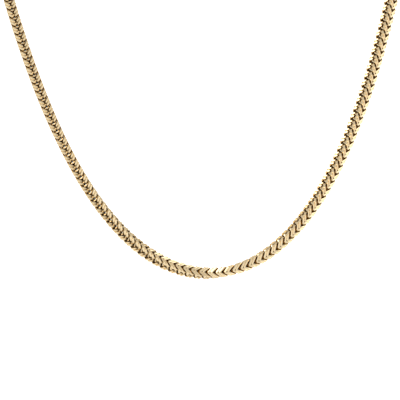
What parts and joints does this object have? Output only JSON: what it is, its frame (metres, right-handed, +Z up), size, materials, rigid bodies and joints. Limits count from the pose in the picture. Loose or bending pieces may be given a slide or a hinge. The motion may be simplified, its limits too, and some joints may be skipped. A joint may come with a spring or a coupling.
{
  "type": "chain necklace",
  "caption": "Square franco-woven chain necklace in a closed loop, hanging in a deep curve at the front and closed at the nape by a plain clasp.",
  "frame": {"origin": "the nape, in the middle of the clasp, where the necklace rests on the back of the neck", "axes": "+Z up, +X to the viewer's right of the front, +Y to the back, so the front of the necklace faces -Y"},
  "size_m": [0.1303, 0.0546, 0.1334],
  "materials": {
    "gold": "polished pale yellow gold"
  },
  "bodies": {
    "root": {"chain_left": "gold", "chain_right": "gold", "end_cap_left": "gold", "end_cap_right": "gold", "jump_ring_left": "gold", "jump_ring_right": "gold", "clasp": "gold"}
  },
  "joints": []
}
